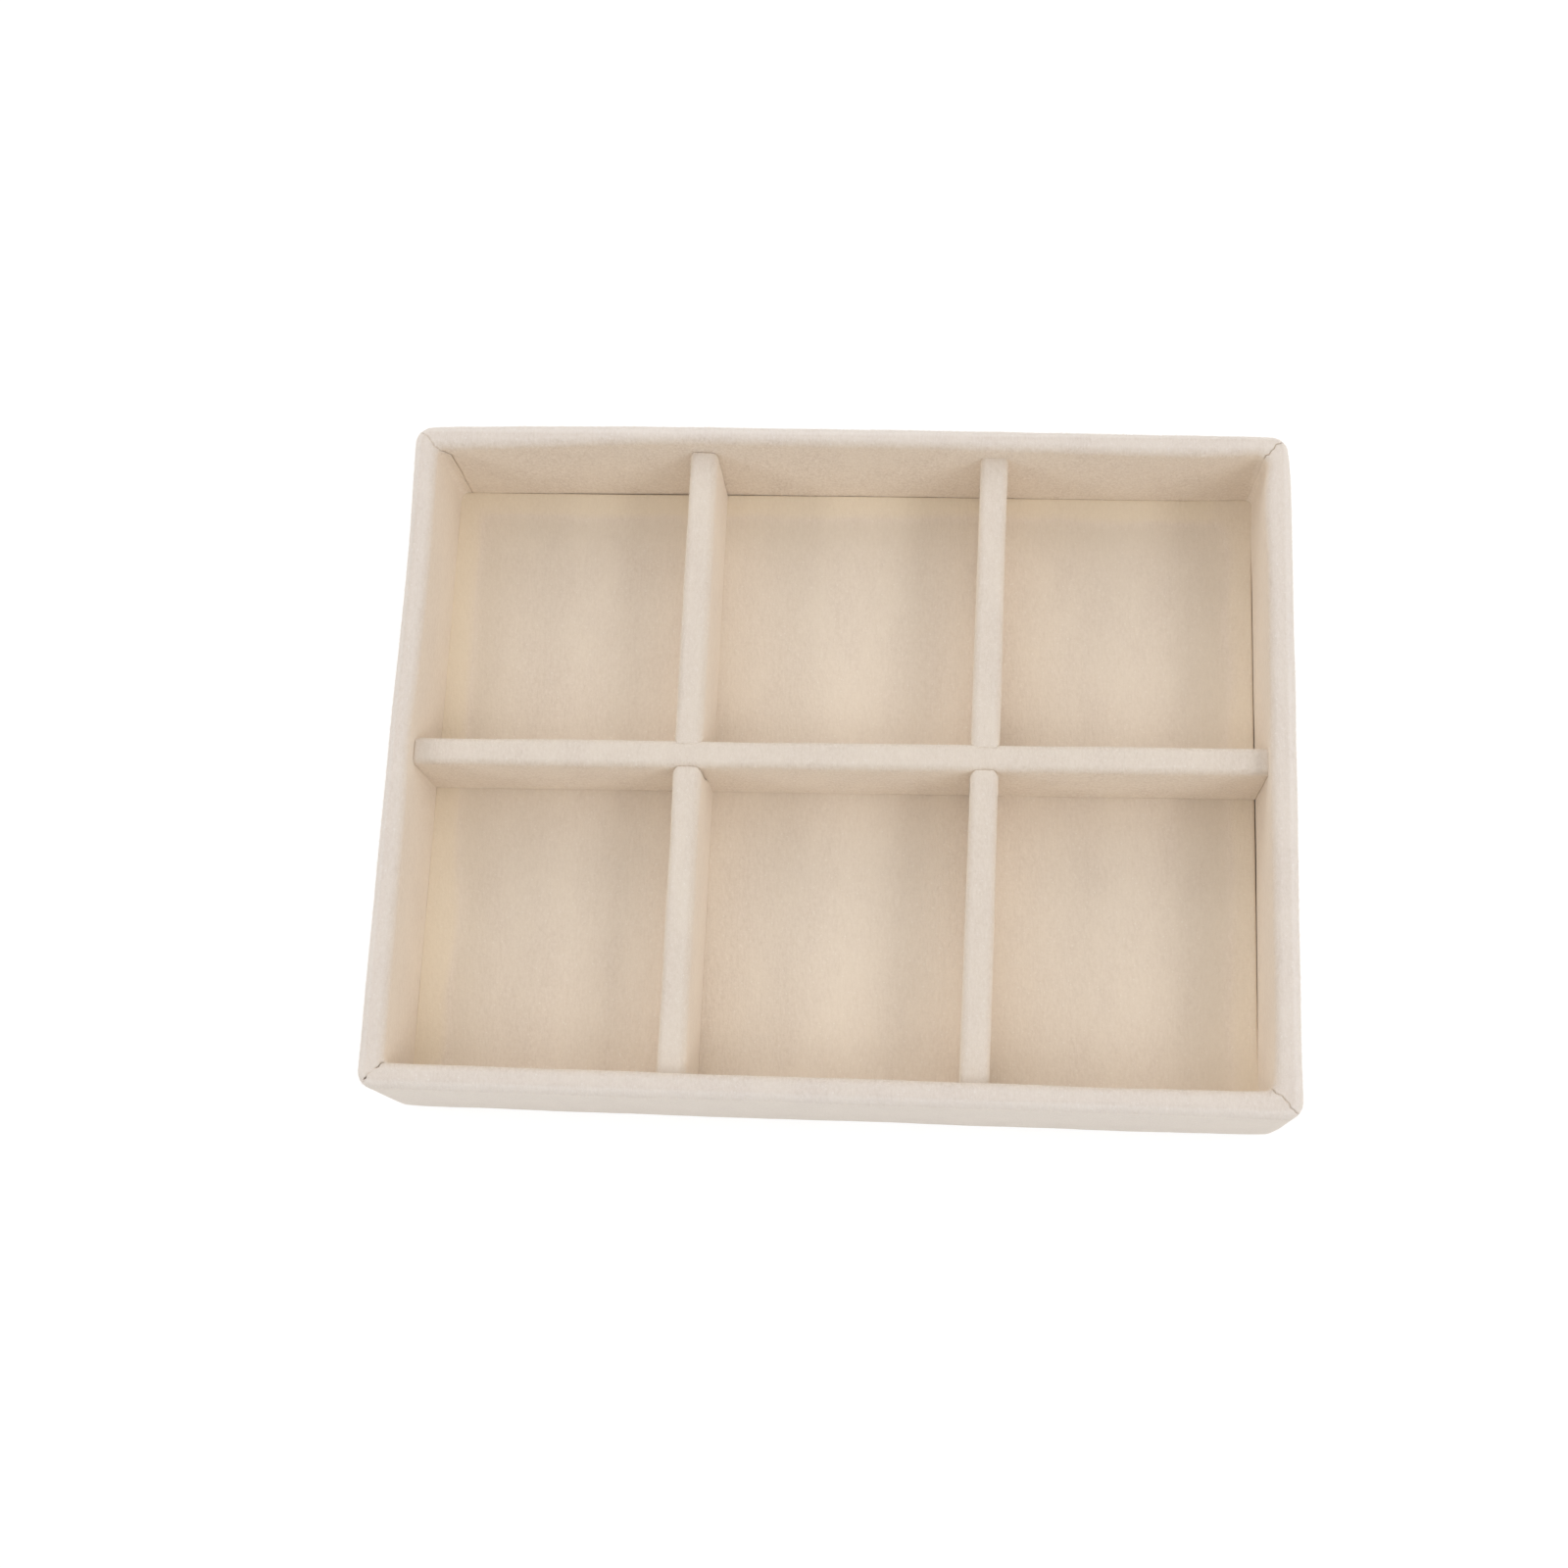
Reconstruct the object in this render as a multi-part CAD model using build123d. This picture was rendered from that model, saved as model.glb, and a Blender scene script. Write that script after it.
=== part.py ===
from build123d import *
import os

# Jewelry tray: an open cloth-covered tray with six compartments.
# The origin is at the middle of the underside, X across the width, Y to the back, Z up. Millimetres.

# Sizes of the whole tray
tray_width = 180.0
tray_depth = 138.0
tray_height = 30.0
corner_radius = 3.5
rim_radius = 1.5
turn_radius = 1.0

# Thicknesses of the boards and sheets
cloth_thickness = 0.8
wall_board_thickness = 3.3
base_board_thickness = 2.0
floor_board_thickness = 1.4
divider_board_thickness = 4.0
bottom_sheet_thickness = 0.4
board_chamfer = 0.4

# Underside: cloth turned in under the base, and the sheet that covers its edge
turn_in_width = 6.0
bottom_sheet_inset = 2.0

# Loose floor panel
floor_gap = 0.3
floor_edge_radius = 0.6
floor_corner_radius = 1.0

# Dividers
divider_drop = 4.5
divider_radius = 1.5
divider_end_gap = 0.25
crossing_gap = 0.2
short_divider_count = 2

# Levels and widths that follow from these sizes
base_bottom = bottom_sheet_thickness + cloth_thickness
base_top = base_bottom + base_board_thickness
floor_level = base_top + floor_board_thickness + cloth_thickness
wall_thickness = wall_board_thickness + 2 * cloth_thickness
well_width = tray_width - 2 * wall_thickness
well_depth = tray_depth - 2 * wall_thickness
divider_thickness = divider_board_thickness + 2 * cloth_thickness
divider_top = tray_height - divider_drop
lap_level = (floor_level + divider_top) / 2
cell_width = (well_width - short_divider_count * divider_thickness) / (short_divider_count + 1)


def slab(width, depth, bottom, top):
    """Plain block centred on the origin in plan, between two levels."""
    return Pos(0, 0, bottom) * Box(width, depth, top - bottom, align=(Align.CENTER, Align.CENTER, Align.MIN))


def tray_block(inset):
    """The tray's outside as one solid block with upright rounded corners, drawn in by the inset all round."""
    outline = RectangleRounded(tray_width - 2 * inset, tray_depth - 2 * inset, corner_radius - inset)
    bottom = bottom_sheet_thickness + inset
    return Pos(0, 0, bottom) * extrude(outline, amount=tray_height - inset - bottom)


def section_rectangle(near, far, bottom, top):
    """Rectangle in a wall's cross section: distances in from the outer face, and levels."""
    return Pos((near + far) / 2, (bottom + top) / 2) * Rectangle(far - near, top - bottom)


def inner_top_corner(section):
    """The section's topmost, innermost corner: the inner edge of the rim."""
    return section.vertices().group_by(Axis.Y)[-1].sort_by(Axis.X)[-1]


def mitred_run(section, length, offset):
    """A cross section run along the front wall and cut at 45 degrees at both ends."""
    plane = Plane(origin=(0, -offset, 0), x_dir=(0, 1, 0), z_dir=(1, 0, 0))
    run = extrude(plane * section, amount=length / 2, both=True)
    reach = max(wall_thickness, turn_in_width)
    wedge = Polygon(
        (-length / 2, -offset),
        (length / 2, -offset),
        (length / 2 - reach, reach - offset),
        (reach - length / 2, reach - offset),
        align=None,
    )
    return run & extrude(wedge, amount=tray_height)


def free_edges(block):
    """The top and end edges of a divider's block, which show above the floor."""
    return block.edges().filter_by(Axis.Z) + block.edges().group_by(Axis.Z)[-1]


def divider_wrap(length, top):
    """The outside of a cloth-covered divider along X: rounded along its top and down its ends."""
    block = slab(length, divider_thickness, floor_level, top)
    return fillet(free_edges(block), divider_radius)


def divider_board(length, top):
    """The board inside such a divider, thinner by the cloth, with its edges eased."""
    block = slab(length - 2 * cloth_thickness, divider_board_thickness, floor_level, top - cloth_thickness)
    return chamfer(free_edges(block), board_chamfer)


outer_block = tray_block(0)
outer_block = fillet(outer_block.edges().group_by(Axis.Z)[-1], rim_radius)
outer_block = fillet(outer_block.edges().group_by(Axis.Z)[0], turn_radius)
board_block = tray_block(cloth_thickness)
board_block = chamfer(board_block.edges().group_by(Axis.Z)[-1], board_chamfer)
board_block = chamfer(board_block.edges().group_by(Axis.Z)[0], board_chamfer)

parts = {}

# Base board, which the four walls stand on
base_board = board_block & slab(tray_width, tray_depth, base_bottom, base_top)
parts["base_board"] = base_board

# Bottom sheet: glued flat over the cloth's turned-in edge and up against the base inside it
sheet_width = tray_width - 2 * bottom_sheet_inset
sheet_depth = tray_depth - 2 * bottom_sheet_inset
sheet_outline = RectangleRounded(sheet_width, sheet_depth, corner_radius - bottom_sheet_inset)
raised_width = tray_width - 2 * turn_in_width
raised_depth = tray_depth - 2 * turn_in_width
hollow_width = raised_width - 2 * bottom_sheet_thickness
hollow_depth = raised_depth - 2 * bottom_sheet_thickness
bottom_sheet = extrude(sheet_outline, amount=bottom_sheet_thickness)
bottom_sheet += slab(raised_width, raised_depth, 0, base_bottom)
bottom_sheet -= slab(hollow_width, hollow_depth, 0, cloth_thickness)
parts["bottom_sheet"] = bottom_sheet

# Walls: a mitred board on the base, and the cloth wrapped over it and turned in under the base
board_section = section_rectangle(cloth_thickness, wall_thickness - cloth_thickness, base_top,
                                  tray_height - cloth_thickness)
board_section = chamfer(inner_top_corner(board_section), board_chamfer)
wrap_section = section_rectangle(0, wall_thickness, base_top, tray_height)
wrap_section = fillet(inner_top_corner(wrap_section), rim_radius)
wrap_section += section_rectangle(0, turn_in_width, bottom_sheet_thickness, base_top)

walls = (
    ("front", tray_width, tray_depth),
    ("right", tray_depth, tray_width),
    ("back", tray_width, tray_depth),
    ("left", tray_depth, tray_width),
)
for quarter, (side, length, across) in enumerate(walls):
    turned = Rot(0, 0, 90 * quarter)
    board = turned * mitred_run(board_section, length, across / 2) & board_block
    wrap = turned * mitred_run(wrap_section, length, across / 2) & outer_block
    parts[f"{side}_wall_board"] = board
    parts[f"{side}_wall_cloth"] = wrap - board - base_board

# Floor panel: a card with the cloth over its top and edges, laid in the well with a thin gap all round
panel_width = well_width - 2 * floor_gap
panel_depth = well_depth - 2 * floor_gap
panel_outline = RectangleRounded(panel_width, panel_depth, floor_corner_radius)
card_outline = RectangleRounded(panel_width - 2 * cloth_thickness, panel_depth - 2 * cloth_thickness,
                                floor_corner_radius - cloth_thickness)
panel = Pos(0, 0, base_top) * extrude(panel_outline, amount=floor_level - base_top)
panel = fillet(panel.edges().group_by(Axis.Z)[-1], floor_edge_radius)
floor_board = Pos(0, 0, base_top) * extrude(card_outline, amount=floor_board_thickness)
parts["floor_board"] = floor_board
parts["floor_cloth"] = panel - floor_board

# Long divider: runs across the width, slotted from below where the short dividers pass
long_length = well_width - 2 * divider_end_gap
slot_width = divider_thickness + 2 * crossing_gap
slot_roof = lap_level + crossing_gap / 2
divider_pitch = cell_width + divider_thickness
crossings = GridLocations(divider_pitch, 0, short_divider_count, 1)
long_wrap = divider_wrap(long_length, divider_top)
long_wrap -= crossings * slab(slot_width, divider_thickness, floor_level, slot_roof)
long_board = divider_board(long_length, divider_top)
long_board -= crossings * slab(slot_width + 2 * cloth_thickness, divider_thickness, floor_level,
                               slot_roof + cloth_thickness)
parts["long_divider_board"] = long_board
parts["long_divider_cloth"] = long_wrap - long_board

# Short dividers: run front to back, slotted from above, with the cloth rounded over the slot's shoulders
short_length = well_depth - 2 * divider_end_gap
arm_length = (short_length - slot_width) / 2
arm_middle = (slot_width + arm_length) / 2
slot_floor = lap_level - crossing_gap / 2
arms = GridLocations(2 * arm_middle, 0, 2, 1)
short_wrap = slab(arm_middle * 2, divider_thickness, floor_level, slot_floor)
short_wrap += arms * divider_wrap(arm_length, divider_top)
short_board = slab(arm_middle * 2, divider_board_thickness, floor_level, slot_floor - cloth_thickness)
short_board += arms * divider_board(arm_length, divider_top)
short_wrap -= short_board
for name, place in zip(("left", "right"), crossings):
    turned = place * Rot(0, 0, 90)
    parts[f"{name}_divider_board"] = turned * short_board
    parts[f"{name}_divider_cloth"] = turned * short_wrap

os.makedirs("parts", exist_ok=True)
for name, solid in parts.items():
    export_step(solid, f"parts/{name}.step")
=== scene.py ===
import math

import bmesh
import bpy
import numpy as np
from mathutils import Euler, Matrix, Vector


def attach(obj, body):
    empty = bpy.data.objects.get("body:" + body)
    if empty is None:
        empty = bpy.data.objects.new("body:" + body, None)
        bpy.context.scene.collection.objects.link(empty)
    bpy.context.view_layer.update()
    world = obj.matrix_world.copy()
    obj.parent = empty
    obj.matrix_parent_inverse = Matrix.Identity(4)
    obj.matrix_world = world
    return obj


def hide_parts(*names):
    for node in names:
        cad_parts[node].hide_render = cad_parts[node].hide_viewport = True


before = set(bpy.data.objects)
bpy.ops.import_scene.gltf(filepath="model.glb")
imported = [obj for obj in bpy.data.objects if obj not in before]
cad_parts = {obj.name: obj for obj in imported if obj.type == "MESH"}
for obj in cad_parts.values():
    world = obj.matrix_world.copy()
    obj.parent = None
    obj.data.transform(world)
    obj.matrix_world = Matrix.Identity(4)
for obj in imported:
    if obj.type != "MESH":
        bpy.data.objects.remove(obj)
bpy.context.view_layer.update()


# Base board.
# The real one is grey-brown medium density fibreboard, sawn to size, and the walls are glued on it.
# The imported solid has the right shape, so it only gets its fibreboard finish.
MM = 0.001


def to_linear(code):
    """An sRGB hex colour as the linear red, green, blue and alpha that a shader takes."""
    channels = [int(code[k:k + 2], 16) / 255 for k in (0, 2, 4)]
    return [v / 12.92 if v <= 0.04045 else ((v + 0.055) / 1.055) ** 2.4 for v in channels] + [1.0]


def add_node(tree, kind, settings=(), inputs=()):
    """One node, with its properties set and each input given a value or the socket that feeds it.

    A kind without "Node" in its name is one of the shader nodes."""
    node = tree.nodes.new(kind if "Node" in kind else "ShaderNode" + kind)
    for name, value in dict(settings).items():
        setattr(node, name, value)
    for name, value in dict(inputs).items():
        if isinstance(value, bpy.types.NodeSocket):
            tree.links.new(value, node.inputs[name])
        else:
            node.inputs[name].default_value = value
    return node


def new_material(name):
    """A new material, its empty node tree, and the socket that gives the place on the piece, in metres."""
    material = bpy.data.materials.new(name)
    material.use_nodes = True
    tree = material.node_tree
    tree.nodes.clear()
    return material, tree, add_node(tree, "TexCoord").outputs["Object"]


def finish_node(name, material):
    """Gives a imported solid, whose shape stays as it is, a better material."""
    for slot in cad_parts[name].material_slots:
        slot.material = material


# A Mix node set to mix colours. Its sockets go by number, as they share their names with others: the factor,
# the colour under, the colour over it, and the mixed colour that comes out.
COLOUR = {"data_type": "RGBA"}
FACTOR, UNDER, OVER, MIXED = 0, 6, 7, 2

# Fibreboard, sawn and sanded: matt, with pressed fibres 0.3 mm wide and 2 mm long, and specks 0.8 mm apart.
fibreboard, tree, place = new_material("fibreboard")
fibre_place = add_node(tree, "Mapping", (), {"Vector": place, "Scale": (0.5 / MM, 3.3 / MM, 3.3 / MM)})
fibres = add_node(tree, "TexNoise", (), {
    "Vector": fibre_place.outputs["Vector"], "Scale": 1.0, "Detail": 4.0, "Roughness": 0.7})
specks = add_node(tree, "TexNoise", (), {"Vector": place, "Scale": 1.2 / MM, "Detail": 2.0})
fibre_colour = add_node(tree, "Mix", COLOUR, {
    FACTOR: fibres.outputs["Fac"], UNDER: to_linear("7F6A4F"), OVER: to_linear("B79C78")})
speck_share = add_node(tree, "MapRange", (), {
    "Value": specks.outputs["Fac"], "From Min": 0.62, "From Max": 0.72, "To Max": 0.6})
board_colour = add_node(tree, "Mix", COLOUR, {
    FACTOR: speck_share.outputs["Result"], UNDER: fibre_colour.outputs[MIXED], OVER: to_linear("5E4A35")})
board_bump = add_node(tree, "Bump", (), {
    "Height": fibres.outputs["Fac"], "Strength": 0.5, "Distance": 0.06 * MM})
surface = add_node(tree, "BsdfPrincipled", (), {
    "Base Color": board_colour.outputs[MIXED], "Roughness": 0.85, "IOR": 1.45,
    "Normal": board_bump.outputs["Normal"]})
add_node(tree, "OutputMaterial", (), {"Surface": surface.outputs["BSDF"]})
finish_node("base_board", fibreboard)


# Walls: mitred fibreboard strips glued on the base, each covered with a strip of short-pile velvet.
# The velvet is glued on from the inside, over the rim, down the outside and 6 mm in under the base, and
# cut at 45 degrees at each corner, where its raw edges sink into a thin, uneven seam.
SIDES = ("front", "right", "back", "left")
TRAY_WIDTH, TRAY_DEPTH, TRAY_HEIGHT = 180.0, 138.0, 30.0
CLOTH = 0.8
SHEET = 0.4
WALL = 4.9
TURN_IN = 6.0
BASE_TOP = 3.2
FLOOR_LEVEL = 5.4
# The tray's upright corners, the rim's outer and inner edges, and the velvet's turn under the base
CORNER_RADIUS = 3.5
RIM_RADIUS = 2.2
INNER_RIM_RADIUS = 1.8
TURN_RADIUS = 1.0

# Short-pile velvet, woven and shorn: deeply matt, with a soft light bloom where it is seen along the
# surface, a fine fleck where tufts of pile stand apart, and slow clouds where the pile leans otherwise.
# On the rims, the tops and the outside it has painted light: lit tops are drawn cooler and a little greyer,
# and the outside paler, as if lit from the white surroundings.
# The pile is about 0.03 mm thick, too fine to show, so its grain is drawn 0.4 to 1.3 mm coarse.
velvet, tree, place = new_material("ivory_velvet")
in_mm = add_node(tree, "Mapping", (), {"Vector": place, "Scale": [1 / MM] * 3}).outputs["Vector"]
# The grain, the way the pile lies, and the clouds: how many to a millimetre in X, Y and Z, and how rough
patterns = []
for per_mm, detail, roughness in (([1.3, 1.3, 1.3], 3.0, 0.8),
                                  ([2.6, 0.75, 1.4], 2.0, 0.5),
                                  ([0.15, 0.07, 0.1], 3.0, 0.6)):
    spaced = add_node(tree, "Mapping", (), {"Vector": place, "Scale": [n / MM for n in per_mm]})
    noise = add_node(tree, "TexNoise", (), {
        "Vector": spaced.outputs["Vector"], "Scale": 1.0, "Detail": detail, "Roughness": roughness})
    patterns.append(noise.outputs["Fac"])
grain, lie, clouds = patterns
TUFTS_PER_MM = 0.75
tufts = add_node(tree, "TexVoronoi", (), {"Vector": in_mm, "Scale": TUFTS_PER_MM}).outputs["Distance"]
# The marks that each cloth carries: its seams with their painted shade, where light is painted on it, how
# fully its fleck shows, and the floor's bands along the walls, one of them painted bounce light
seam_and_shade, painted_light_tint, fleck, painted_wall_bands = [add_node(tree, "Attribute", {"attribute_name": name}).outputs["Fac"]
                             for name in ("seam_and_shade", "painted_light_tint", "fleck", "painted_wall_bands")]
mottle = add_node(tree, "Mix", {"data_type": "FLOAT"}, {"Factor": 0.42, "A": grain, "B": lie})
darkest, palest = [add_node(tree, "Math", {"operation": "MULTIPLY_ADD"},
                            {0: fleck, 1: narrower, 2: level}).outputs["Value"]
                   for narrower, level in ((0.22, 0.1), (-0.22, 0.9))]
mottle_share = add_node(tree, "MapRange", (), {
    "Value": mottle.outputs["Result"], "From Min": darkest, "From Max": palest})
colour = add_node(tree, "Mix", COLOUR, {
    FACTOR: mottle_share.outputs["Result"], UNDER: to_linear("CFBEAB"),
    OVER: to_linear("EEE2D4")}).outputs[MIXED]
# Laid over that in turn: clouds, tufts, a pale band of painted bounce light along the walls and a darker band
# beyond it, each with the values at which it starts and is at its full share, that share, and its colour
layers = ((clouds, 0.3, 0.7, 0.5, "E9DCCA"), (tufts, 0.16, 0.05, 0.38, "F6F0E5"),
          (painted_wall_bands, 0.0, 1.0, 0.42, "EBDCBF"), (painted_wall_bands, 0.0, -1.0, 0.4, "D8CBB8"))
for pattern, start, full, share, code in layers:
    shown = add_node(tree, "MapRange", (), {
        "Value": pattern, "From Min": start, "From Max": full, "To Max": share})
    colour = add_node(tree, "Mix", COLOUR, {
        FACTOR: shown.outputs["Result"], UNDER: colour, OVER: to_linear(code)}).outputs[MIXED]
# Painted light: lit tops and the outside are tinted cooler, most of all on the rims and the outside
level = add_node(tree, "SeparateXYZ", (), {"Vector": in_mm}).outputs["Z"]
rim_share = add_node(tree, "MapRange", (), {
    "Value": level, "From Min": 26.0, "From Max": 28.5}).outputs["Result"]
outside_share = add_node(tree, "Math", {"operation": "SUBTRACT", "use_clamp": True}, {
    0: painted_light_tint, 1: 1.0}).outputs["Value"]
cool_share = add_node(tree, "Math", {"operation": "MAXIMUM"}, {0: rim_share, 1: outside_share})
painted_cool_tint = add_node(tree, "Mix", COLOUR, {
    FACTOR: cool_share.outputs["Value"], UNDER: to_linear("EEF0F5"),
    OVER: to_linear("F0F3FB")}).outputs[MIXED]
colour = add_node(tree, "Mix", {"data_type": "RGBA", "blend_type": "MULTIPLY"}, {
    FACTOR: painted_light_tint, UNDER: colour, OVER: painted_cool_tint}).outputs[MIXED]
# The outside is painted paler, up to its share at the rim, as painted light from the white surroundings; the
# seams are darker, partly as a dark joint and partly as painted shade, and the gap round the floor has
# painted shade
outside_paleness = add_node(tree, "MapRange", (), {
    "Value": rim_share, "To Min": 0.1, "To Max": 0.17}).outputs["Result"]
for mark, share, code in ((outside_share, outside_paleness, "FBF8F6"), (seam_and_shade, 0.4, "8C7458")):
    shown = add_node(tree, "Math", {"operation": "MULTIPLY"}, {0: mark, 1: share})
    colour = add_node(tree, "Mix", COLOUR, {
        FACTOR: shown.outputs["Value"], UNDER: colour, OVER: to_linear(code)}).outputs[MIXED]
pile_height = add_node(tree, "Math", {"operation": "ADD"}, {0: grain, 1: lie})
pile_bump = add_node(tree, "Bump", (), {
    "Height": pile_height.outputs["Value"], "Strength": 0.5, "Distance": 0.15 * MM})
surface = add_node(tree, "BsdfPrincipled", (), {
    "Base Color": colour, "Roughness": 0.95, "IOR": 1.4, "Specular IOR Level": 0.2, "Sheen Weight": 0.3,
    "Sheen Roughness": 0.5, "Sheen Tint": to_linear("FFFAF2"), "Normal": pile_bump.outputs["Normal"]})
add_node(tree, "OutputMaterial", (), {"Surface": surface.outputs["BSDF"]})


def ramp(value, none, full):
    """How far a value has come from the one that counts as none to the one that counts as full, 0 to 1."""
    return np.clip((value - none) / (full - none), 0, 1)


def bell(distance, reach):
    """A smooth bell: 1 at no distance, about a third at the reach, and nearly nothing at twice that."""
    return np.exp(-(distance / reach) ** 2)


def waviness(along, across, seed):
    """Slow unevenness of hand-laid cloth, about -1 to 1: four sine waves in seeded directions."""
    random = np.random.default_rng(seed)
    total = 0.0
    for wavelength in (52.0, 31.0, 17.0, 9.5):
        turn, phase = random.uniform(0, 2 * math.pi, 2)
        path = along * math.cos(turn) + across * math.sin(turn)
        total = total + np.sin(2 * math.pi * path / wavelength + phase) * math.sqrt(wavelength)
    return total / 14


def add_object(name, data):
    """An object for a mesh, a lamp or a camera, put in the scene."""
    added = bpy.data.objects.new(name, data)
    bpy.context.scene.collection.objects.link(added)
    return added


def mark_points(mesh, name, values):
    """Gives each point of a mesh a number, under a name that a node tree can read."""
    mesh.attributes.new(name, "FLOAT", "POINT").data.foreach_set("value", values.astype(np.float32))


def grid_faces(number):
    """The four-sided faces of a grid, from the numbers of its points."""
    return np.stack([number[:-1, :-1], number[:-1, 1:], number[1:, 1:], number[1:, :-1]], axis=-1)


# Where lit tops are painted cooler: the dividers' tops and the rims' by their levels, and how much of it each
# gives
LIT_TOP_TINTS = ((20.0, 24.0, 0.9), (26.0, 28.5, 0.1))
# Points that fall on the same one of so many steps to a millimetre are welded, and edges over so many degrees
# stay sharp
WELD_STEPS = 2000
SHARP_ANGLE = 55


def cloth_shell(name, patches, material):
    """A closed thin cloth from grids of points on its two faces, in millimetres.

    Each patch is (outer points, inner points, cut-out squares, seam and shade marks). Patches are welded
    where they meet, and a strip of faces closes every edge. Its points are marked: seam_and_shade, the seams
    and the painted shade in the gap; painted_light_tint, painted light, up to 1 on the lit tops and 2 on the
    outside;
    and fleck, fullest on faces that look along Y, none on the outside."""
    outer, inner, marks, squares = [], [], [], []
    for outside, inside, cut, mark in patches:
        rows, columns = outside.shape[:2]
        start = sum(len(block) for block in outer)
        ring = grid_faces(start + np.arange(rows * columns).reshape(rows, columns))
        squares.append(ring.reshape(-1, 4) if cut is None else ring[~cut])
        outer.append(outside.reshape(-1, 3))
        inner.append(inside.reshape(-1, 3))
        marks.append(np.broadcast_to(0.0 if mark is None else mark, (rows, columns)).ravel())
    outer, inner, marks = np.concatenate(outer), np.concatenate(inner), np.concatenate(marks)
    _, first, number = np.unique(np.round(outer * WELD_STEPS).astype(np.int64), axis=0,
                                 return_index=True, return_inverse=True)
    number = number.reshape(-1)
    faces, edges = [], set()
    for square in number[np.concatenate(squares)].tolist():
        face = [v for k, v in enumerate(square) if v != square[k - 1]]
        if len(face) < 3 or len(set(face)) < len(face):
            continue
        faces.append(face)
        edges.update(zip(face, face[1:] + face[:1]))
    used = sorted({v for face in faces for v in face})
    order = {v: k for k, v in enumerate(used)}
    size = len(used)
    both = [[order[v] for v in face] for face in faces]
    both += [[order[v] + size for v in reversed(face)] for face in faces]
    for a, b in sorted(edges):
        if (b, a) not in edges:
            both.append([order[b], order[a], order[a] + size, order[b] + size])
    kept = first[used]
    points = np.concatenate([outer[kept], inner[kept]])
    mesh = bpy.data.meshes.new(name)
    mesh.from_pydata(points * MM, [], both)
    mesh.validate()
    facing = np.empty(6 * size, np.float32)
    mesh.vertex_normals.foreach_get("vector", facing)
    x, y, z = points.T
    # Painted light: up to 1 on lit tops, by their levels, and 2 on the outside, which is painted as if lit by
    # the white surroundings
    upward = np.clip(facing[2::3], 0, 1) * sum(share * ramp(z, low, high) for low, high, share in LIT_TOP_TINTS)
    to_corner = np.hypot(np.clip(abs(x) - TRAY_WIDTH / 2 + CORNER_RADIUS, 0, None),
                         np.clip(abs(y) - TRAY_DEPTH / 2 + CORNER_RADIUS, 0, None))
    outside = np.clip(to_corner - CORNER_RADIUS + RIM_RADIUS, 0, 1)
    mark_points(mesh, "seam_and_shade", np.concatenate([marks[kept], np.zeros(size)]))
    mark_points(mesh, "painted_light_tint", np.maximum(upward, 2 * outside))
    mark_points(mesh, "fleck", np.abs(facing[1::3]) * (1 - outside))
    mesh.materials.append(material)
    mesh.shade_smooth()
    mesh.set_sharp_from_angle(angle=math.radians(SHARP_ANGLE))
    return add_object(name, mesh)


def stepped(start, stop, longest):
    """Even levels from start to stop, no further apart than the longest step, without the last one."""
    steps = max(1, math.ceil(abs(stop - start) / longest))
    return [start + (stop - start) * k / steps for k in range(steps)]


def quarter_turn(centre, radius, start_angle, steps):
    """Points and outward directions round a quarter circle, clockwise from the start angle in degrees."""
    angles = [math.radians(start_angle - 90 * k / steps) for k in range(steps)]
    return [(centre[0] + radius * math.cos(a), centre[1] + radius * math.sin(a), math.cos(a), math.sin(a))
            for a in angles]


def corner_run(half_length, half_across, inset, distance, radius):
    """Plan points on a rounded outline: at a distance from the corner's 45 degree line, by inset and radius.

    A distance below zero is round the corner, on the next side."""
    turned = np.clip(math.pi / 4 - distance / radius, 0, math.pi / 2)
    straight = np.clip(distance - radius * math.pi / 4, 0, None)
    beyond = np.clip(-distance - radius * math.pi / 4, 0, None)
    along = half_length - inset - radius + radius * np.sin(turned) - straight
    across = inset + radius - radius * np.cos(turned) - half_across + beyond
    return along, across


# The wrap's cross section: inset from the outer face, level, and outward direction, from under the base
# up the outside, over the rim and down the inside
inner_centre = (WALL - INNER_RIM_RADIUS, TRAY_HEIGHT - INNER_RIM_RADIUS)
wrap_path = [(u, SHEET, 0.0, -1.0) for u in stepped(TURN_IN, TURN_RADIUS, 2.5)]
wrap_path += quarter_turn((TURN_RADIUS, SHEET + TURN_RADIUS), TURN_RADIUS, 270, 6)
wrap_path += [(0.0, z, -1.0, 0.0) for z in stepped(SHEET + TURN_RADIUS, TRAY_HEIGHT - RIM_RADIUS, 3.0)]
wrap_path += quarter_turn((RIM_RADIUS, TRAY_HEIGHT - RIM_RADIUS), RIM_RADIUS, 180, 12)
wrap_path += [(u, TRAY_HEIGHT, 0.0, 1.0) for u in stepped(RIM_RADIUS, inner_centre[0], 0.5)]
wrap_path += quarter_turn(inner_centre, INNER_RIM_RADIUS, 90, 12)
wrap_path += [(WALL, z, 1.0, 0.0) for z in stepped(inner_centre[1], BASE_TOP, 2.5)]
wrap_path += [(WALL, BASE_TOP, 1.0, 0.0)]
# The board's, from its outer foot to its inner one, with its top edges eased by hand
half_board = [(0.0, BASE_TOP), (0.0, 12.0), (0.0, 21.0), (0.0, 28.2), (0.3, 28.9), (1.0, 29.2)]
board_path = [(CLOTH + u, z, 0.0, 0.0) for u, z in half_board]
board_path += [(WALL - CLOTH - u, z, 0.0, 0.0) for u, z in reversed(half_board)]

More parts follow.
